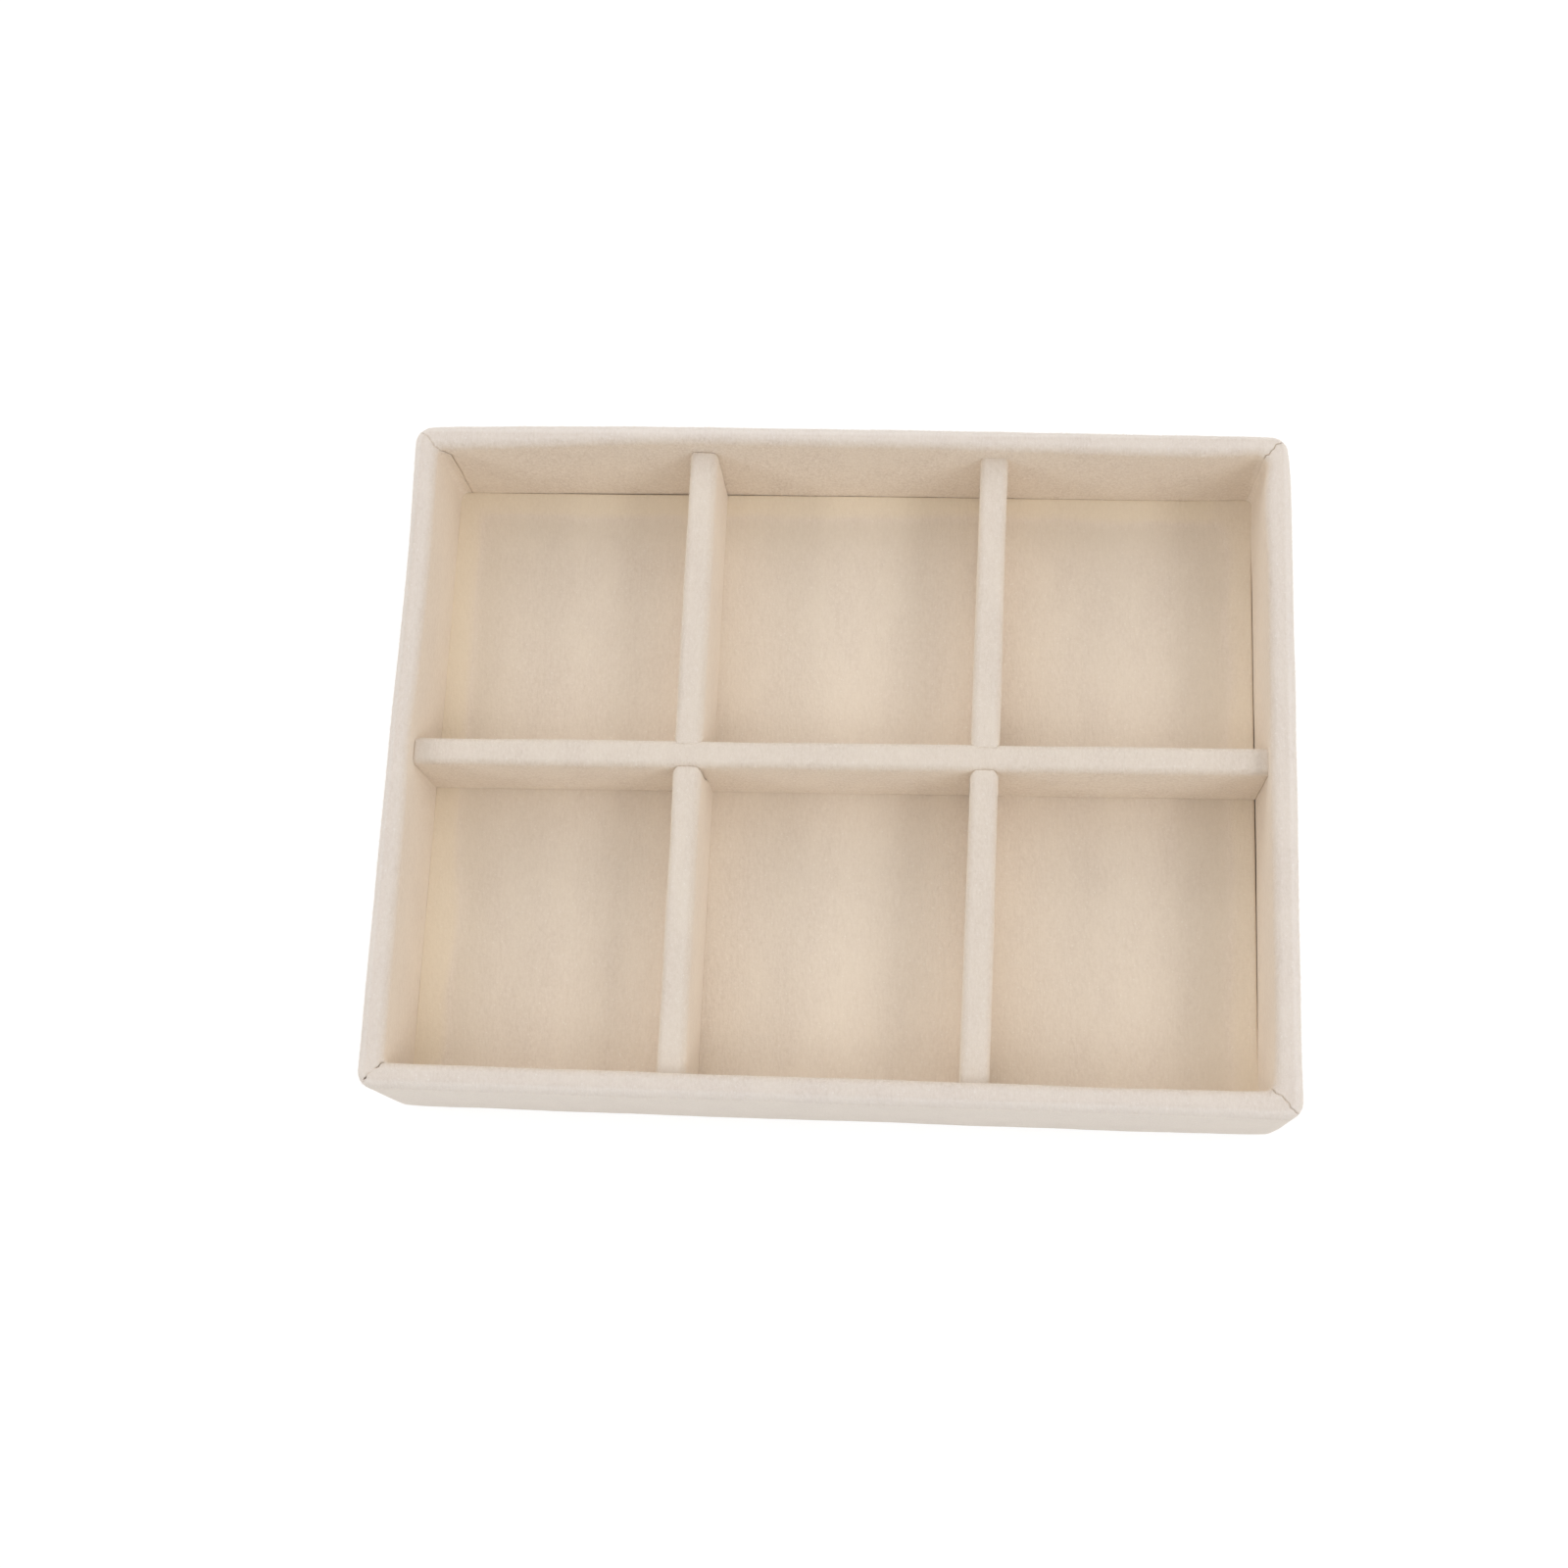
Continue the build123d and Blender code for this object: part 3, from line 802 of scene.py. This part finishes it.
# Long divider: notched from below, its top running on over both crossings
slots = [sign * DIVIDER_PITCH / 2 + SHORT_SKEW[side][0] + SHORT_SKEW[side][1] * LONG_SKEW[0]
         for side, sign in (("left", -1), ("right", 1))]
slot_edges = [middle + reach for middle in slots for reach in (-SLOT_HALF, SLOT_HALF)]
layers = []
for sunk in (0.0, CLOTH):
    start = rounded_end(LONG_TIPS[0], -1, END_RADIUS, sunk)
    stop = rounded_end(LONG_TIPS[1], 1, END_RADIUS, sunk)[::-1]
    stops = [LONG_TIPS[0] + TIP_RUN] + slot_edges + [LONG_TIPS[1] - TIP_RUN]
    middle = []
    for k, (a, b) in enumerate(zip(stops[:-1], stops[1:])):
        middle += plain_sections(a, b, ARM_STEP if k % 2 == 0 else SLOT_STEP, sunk)
        if b in slot_edges:
            middle.append(full_section(b, sunk))
    layers.append(np.stack(start + middle + stop, axis=1))
centre = (layers[0][:-1, :-1] + layers[0][1:, 1:]) / 2
in_slot = np.minimum(np.abs(centre[..., 0] - slots[0]), np.abs(centre[..., 0] - slots[1])) < SLOT_HALF
notch = in_slot & (centre[..., 2] < LAP_LEVEL + CROSSING_GAP)
divider_strip("long_divider_strip", LONG_HALF - CLOTH,
              [(middle, SLOT_HALF + CLOTH, LAP_LEVEL + CROSSING_GAP / 2 + CLOTH) for middle in slots],
              False, long_place)
long_surface = dress_divider("long_divider_velvet", layers, notch, long_place, 51, LONG_FLAT)

# Short dividers: two arms joined by a low bridge that passes under the long divider. The front arm's shoulder
# is the rounder one, and both arms are pressed up against the long divider's rounded top, the front ones by
# the share given here.
FRONT_PRESSED = {"left": 0.65, "right": 0.85}
PRESSED_RUN = 1.4
# How near the arms come to the long divider, and how far their tops fall with their shoulders' rounding
TOUCH_GAP = 0.1
FRONT_DROP, BACK_DROP = 0.5, 0.4
short_surfaces = {}
for side, sign in (("left", -1), ("right", 1)):
    crossing = LONG_SKEW[0] + LONG_SKEW[1] * sign * DIVIDER_PITCH / 2
    touch = DIVIDER_HALF + TOUCH_GAP
    front_tip, back_tip = crossing - touch, crossing + touch
    layers = []
    for sunk in (0.0, CLOTH):
        bridge = LAP_LEVEL - CROSSING_GAP / 2 - sunk
        front = rounded_end(SHORT_TIPS[0], -1, END_RADIUS, sunk)
        front += plain_sections(SHORT_TIPS[0] + TIP_RUN, front_tip - 1.2, ARM_STEP, sunk)
        front += rounded_end(front_tip, 1, FRONT_SHOULDER, sunk, LAP_LEVEL, FRONT_DROP, False)[::-1]
        back = rounded_end(back_tip, -1, BACK_SHOULDER, sunk, LAP_LEVEL, BACK_DROP, False)
        back += plain_sections(back_tip + TIP_RUN, SHORT_TIPS[1] - TIP_RUN, ARM_STEP, sunk)
        back += rounded_end(SHORT_TIPS[1], 1, END_RADIUS, sunk)[::-1]
        if sunk == 0:
            shoulders = [(line, front_tip, FRONT_PRESSED[side]) for line in front[-8:]]
            shoulders += [(line, back_tip, -1.0) for line in back[:8]]
            for line, tip, pressed in shoulders:
                near = ramp(abs(line[:, 0] - tip), PRESSED_RUN, 0)
                over = np.clip(line[:, 2] - DIVIDER_TOP + DIVIDER_RADIUS, 0, DIVIDER_RADIUS - 0.1)
                line[:, 0] += pressed * near * (DIVIDER_RADIUS - np.sqrt(DIVIDER_RADIUS ** 2 - over ** 2))
        half = DIVIDER_HALF - sunk
        lips = []
        for line in (front[-1], back[0]):
            lip = line.copy()
            above = lip[:, 2] > bridge
            lip[above, 1] = np.linspace(-half, half, int(above.sum()) + 2)[1:-1]
            lip[above, 2] = bridge
            lips.append(lip)
        path = [front[-1] + (lips[0] - front[-1]) * 0.5]
        path += [lips[0] + (lips[1] - lips[0]) * share for share in (0, 0.25, 0.5, 0.75, 1)]
        path += [back[0] + (lips[1] - back[0]) * 0.5]
        layers.append(np.stack(front + path + back, axis=1))
    place = short_place(side)
    notch = (crossing, SLOT_HALF + CLOTH, LAP_LEVEL - CROSSING_GAP / 2 - CLOTH)
    divider_strip(f"{side}_divider_strip", SHORT_HALF - CLOTH, [notch], True, place)
    short_surfaces[side] = dress_divider(f"{side}_divider_velvet", layers, None, place, 61 + sign, SHORT_FLAT)


# Loose pile: short cotton fibres that stand away from the velvet.
# They stand where it bends over a rim or a divider's edge, and thickest where it is cut, along the corner
# seams, and they lean at random.
FIBRE_LENGTH = 0.36 * MM
FIBRE_THICKNESS = 0.035 * MM  # real pile is about 0.02 mm thick, too fine to show
FIBRES_PER_MM2 = 13.0
FIBRE_LEAN = 1.2
FIBRE_SIZES = (0.5, 1.35)

# Cotton pile fibres: the velvet's own colour, paler in random places, and matt.
loose_pile, tree, place = new_material("loose_pile")
fibre_noise = add_node(tree, "TexNoise", (), {"Vector": place, "Scale": 1.5 / MM}).outputs["Fac"]
fibre_colour = add_node(tree, "Mix", COLOUR, {
    FACTOR: fibre_noise, UNDER: to_linear("D8CCBD"), OVER: to_linear("F2EBE2")})
surface = add_node(tree, "BsdfPrincipled", (), {
    "Base Color": fibre_colour.outputs[MIXED], "Roughness": 0.9, "IOR": 1.5, "Specular IOR Level": 0.2,
    "Sheen Weight": 0.2})
add_node(tree, "OutputMaterial", (), {"Surface": surface.outputs["BSDF"]})


def nap_tree():
    """Geometry Nodes: three-sided fibres scattered over a strip of cloth, each leaning at random."""
    tree = bpy.data.node_groups.new("standing_fibres", "GeometryNodeTree")
    face = tree.interface
    face.new_socket("Geometry", in_out="INPUT", socket_type="NodeSocketGeometry")
    for name in ("Fibre length", "Fibre thickness", "Fibres per square metre", "Lean"):
        face.new_socket(name, in_out="INPUT", socket_type="NodeSocketFloat")
    face.new_socket("Seed", in_out="INPUT", socket_type="NodeSocketInt")
    face.new_socket("Geometry", in_out="OUTPUT", socket_type="NodeSocketGeometry")
    given = add_node(tree, "NodeGroupInput").outputs
    growth = add_node(tree, "GeometryNodeInputNamedAttribute", {"data_type": "FLOAT"}, {"Name": "growth"})
    density = add_node(tree, "Math", {"operation": "MULTIPLY"}, {
        0: growth.outputs["Attribute"], 1: given["Fibres per square metre"]})
    roots = add_node(tree, "GeometryNodeDistributePointsOnFaces", (), {
        "Mesh": given["Geometry"], "Density": density.outputs["Value"], "Seed": given["Seed"]})
    half_thick = add_node(tree, "Math", {"operation": "MULTIPLY"}, {0: given["Fibre thickness"], 1: 0.5})
    fibre = add_node(tree, "GeometryNodeMeshCone", (), {
        "Vertices": 3, "Radius Top": 0.0, "Radius Bottom": half_thick.outputs["Value"],
        "Depth": given["Fibre length"]})
    spread = add_node(tree, "FunctionNodeRandomValue", {"data_type": "FLOAT_VECTOR"}, {
        "Min": (-1, -1, -1), "Max": (1, 1, 1), "Seed": given["Seed"]})
    lean = add_node(tree, "VectorMath", {"operation": "SCALE"}, {
        0: spread.outputs[0], "Scale": given["Lean"]})
    direction = add_node(tree, "VectorMath", {"operation": "ADD"}, {
        0: roots.outputs["Normal"], 1: lean.outputs["Vector"]})
    turned = add_node(tree, "FunctionNodeAlignRotationToVector", {"axis": "Z"}, {
        "Vector": direction.outputs["Vector"]})
    # Sockets 2 and 3 are the least and the most of a random number, and 1 is the number
    size = add_node(tree, "FunctionNodeRandomValue", {"data_type": "FLOAT"}, {
        2: FIBRE_SIZES[0], 3: FIBRE_SIZES[1], "Seed": given["Seed"]})
    grown = add_node(tree, "GeometryNodeInstanceOnPoints", (), {
        "Points": roots.outputs["Points"], "Instance": fibre.outputs["Mesh"],
        "Rotation": turned.outputs["Rotation"], "Scale": size.outputs[1]})
    real = add_node(tree, "GeometryNodeRealizeInstances", (), {"Geometry": grown.outputs["Instances"]})
    finished = add_node(tree, "GeometryNodeSetMaterial", (), {
        "Geometry": real.outputs["Geometry"], "Material": loose_pile})
    add_node(tree, "NodeGroupOutput", (), {"Geometry": finished.outputs["Geometry"]})
    return tree


standing_fibres = nap_tree()


def grow_nap(name, grid, growth, seed):
    """A piece of loose fibres grown on a strip of cloth, given as a grid of points in millimetres."""
    rows, columns = grid.shape[:2]
    faces = grid_faces(np.arange(rows * columns).reshape(rows, columns)).reshape(-1, 4)
    strip = bpy.data.meshes.new("nap_strip")
    strip.from_pydata(grid.reshape(-1, 3) * MM, [], faces.tolist())
    mark_points(strip, "growth", np.broadcast_to(growth, (rows, columns)).ravel())
    holder = add_object("nap_strip", strip)
    modifier = holder.modifiers.new("nap", "NODES")
    modifier.node_group = standing_fibres
    values = {"Fibre length": FIBRE_LENGTH, "Fibre thickness": FIBRE_THICKNESS,
              "Fibres per square metre": FIBRES_PER_MM2 / MM ** 2, "Lean": FIBRE_LEAN, "Seed": seed}
    for socket in standing_fibres.interface.items_tree:
        if socket.in_out == "INPUT" and socket.name in values:
            modifier[socket.identifier] = values[socket.name]
    graph = bpy.context.evaluated_depsgraph_get()
    mesh = bpy.data.meshes.new_from_object(holder.evaluated_get(graph), depsgraph=graph)
    mesh.name = name
    holder.modifiers.remove(modifier)
    bpy.data.objects.remove(holder)
    piece = add_object(name, mesh)
    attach(piece, "root")


# Where the pile is grown: over the rims' rounded edges, more where they face outwards and most along the
# seams, and over the dividers' top edges, less on their flat tops
SEAM_GROWTH = 5
FLAT_TOP_LOSS = 0.7
on_rim = [k for k, (_, z, _, _) in enumerate(wrap_path) if z > TRAY_HEIGHT - RIM_RADIUS - 0.1]
rim_rows = slice(on_rim[0], on_rim[-1] + 1)
edge_growth = np.array([abs(out) * 0.8 + 0.2 for _, _, out, _ in wrap_path])[rim_rows, None]
for quarter, side in enumerate(SIDES):
    grid, seam_and_shade = wall_surfaces[side]
    grow_nap(f"{side}_rim_nap", grid[rim_rows], edge_growth + SEAM_GROWTH * seam_and_shade[rim_rows], 71 + quarter)
for name, grid, seed in (("long", long_surface, 81), ("left", short_surfaces["left"], 82),
                         ("right", short_surfaces["right"], 83)):
    high = ramp(grid[..., 2], DIVIDER_TOP - 2.2, DIVIDER_TOP - 1.4)
    flat_top = ramp(grid[..., 2], DIVIDER_TOP - 0.3, DIVIDER_TOP)
    grow_nap(f"{name}_divider_nap", grid, high * (1 - FLAT_TOP_LOSS * flat_top), seed)


# Table top and backdrop.
# A plain pale matt surface that is white to the camera and keeps the tray's soft shadow.
TABLE_HALF = 3.0
TABLE_DROP = 0.3 * MM
WHITE_STRENGTH = 1.12


def seen_directly(tree):
    """The share of a ray that comes from the camera, a gloss or a glass, as a socket, 0 or 1."""
    rays = add_node(tree, "LightPath").outputs
    seen = rays["Is Camera Ray"]
    for kind in ("Is Glossy Ray", "Is Transmission Ray"):
        seen = add_node(tree, "Math", {"operation": "MAXIMUM"}, {0: seen, 1: rays[kind]}).outputs["Value"]
    return seen


# Matt white board: its paleness grows from near the tray, where it shows the shadow, to plain white far off.
white_table, tree, place = new_material("white_table")
away = add_node(tree, "VectorMath", {"operation": "LENGTH"}, {0: place}).outputs["Value"]
whiteness = add_node(tree, "MapRange", (), {
    "Value": away, "From Min": 0.25, "From Max": 0.9, "To Min": 0.72})
share = add_node(tree, "Math", {"operation": "MULTIPLY"}, {
    0: seen_directly(tree), 1: whiteness.outputs["Result"]})
matt = add_node(tree, "BsdfDiffuse", (), {"Color": to_linear("F2F0EC")})
white = add_node(tree, "Emission", (), {"Color": (1, 1, 1, 1), "Strength": WHITE_STRENGTH})
surface = add_node(tree, "MixShader", (), {
    0: share.outputs["Value"], 1: matt.outputs["BSDF"], 2: white.outputs["Emission"]})
add_node(tree, "OutputMaterial", (), {"Surface": surface.outputs["Shader"]})
table_mesh = bpy.data.meshes.new("table_top")
corners = [(TABLE_HALF * x, TABLE_HALF * y, -TABLE_DROP) for x, y in ((-1, -1), (1, -1), (1, 1), (-1, 1))]
table_mesh.from_pydata(corners, [], [(0, 1, 2, 3)])
table_mesh.materials.append(white_table)
add_object("table_top", table_mesh)


# Lighting: a bright even room, and soft boxes round and above the tray.
# The ones at the right and at the back left are the strongest, and a narrow strip lights the front rim.
ROOM_STRENGTH = 0.535
# name: where the lamp is, how far in front of or behind the middle the point that it faces is, its width and
# height, all in metres, and its watts
LAMPS = {
    "strip": ((0.52, -0.24, 0.65), -0.08, 0.75, 0.15, 1.05),
    "left": ((-1.07, 0.00, 0.74), 0.0, 0.6, 0.6, 2.9),
    "left_front": ((-0.98, -0.42, 0.80), 0.0, 0.3, 0.3, 1.7),
    "right": ((1.07, 0.00, 0.74), 0.0, 1.1, 1.1, 3.9),
    "right_front": ((0.98, -0.42, 0.80), 0.0, 0.3, 0.3, 1.4),
    "front": ((0.00, -1.07, 0.74), 0.0, 0.6, 0.6, 0.95),
    "back_high": ((0.00, 0.65, 1.13), 0.0, 0.6, 0.6, 1.0),
    "back_low": ((-0.26, 1.03, 0.74), 0.0, 0.6, 0.6, 3.6),
}
world = bpy.data.worlds.new("room")
bpy.context.scene.world = world
world.use_nodes = True
world.node_tree.nodes.clear()
tree = world.node_tree
room, blank = [add_node(tree, "Background", (), {"Color": (1, 1, 1, 1), "Strength": strength})
               for strength in (ROOM_STRENGTH, 1.0)]
surface = add_node(tree, "MixShader", (), {
    0: seen_directly(tree), 1: room.outputs["Background"], 2: blank.outputs["Background"]})
add_node(tree, "OutputWorld", (), {"Surface": surface.outputs["Shader"]})
for name, (place, faced, width, height, watts) in LAMPS.items():
    lamp = bpy.data.lights.new(name, "AREA")
    lamp.shape = "RECTANGLE"
    lamp.size = width
    lamp.size_y = height
    lamp.energy = watts
    stand = add_object(name, lamp)
    stand.location = place
    stand.rotation_mode = "QUATERNION"
    stand.rotation_quaternion = (Vector(place) - Vector((0.0, faced, 0.0))).to_track_quat("Z", "Y")


# Camera: held above the front of the tray, a little to its right.
# It looks steeply down, turned slightly, and was fitted to the tray's straight edges.
CAMERA_PLACE = (25.03, -115.06, 440.2)
CAMERA_TURNS = (14.9233, 4.1833, 2.4222)  # degrees about X, Y and Z, from looking straight down
LENS = 49.646
camera_data = bpy.data.cameras.new("camera")
camera_data.lens = LENS
camera_data.sensor_width = 36.0
camera_data.clip_start = 0.01
camera = add_object("camera", camera_data)
camera.matrix_world = Matrix.LocRotScale(Vector(CAMERA_PLACE) * MM,
                                         Euler([math.radians(turn) for turn in CAMERA_TURNS]), None)
bpy.context.scene.camera = camera

bpy.context.scene.view_settings.view_transform = "Standard"
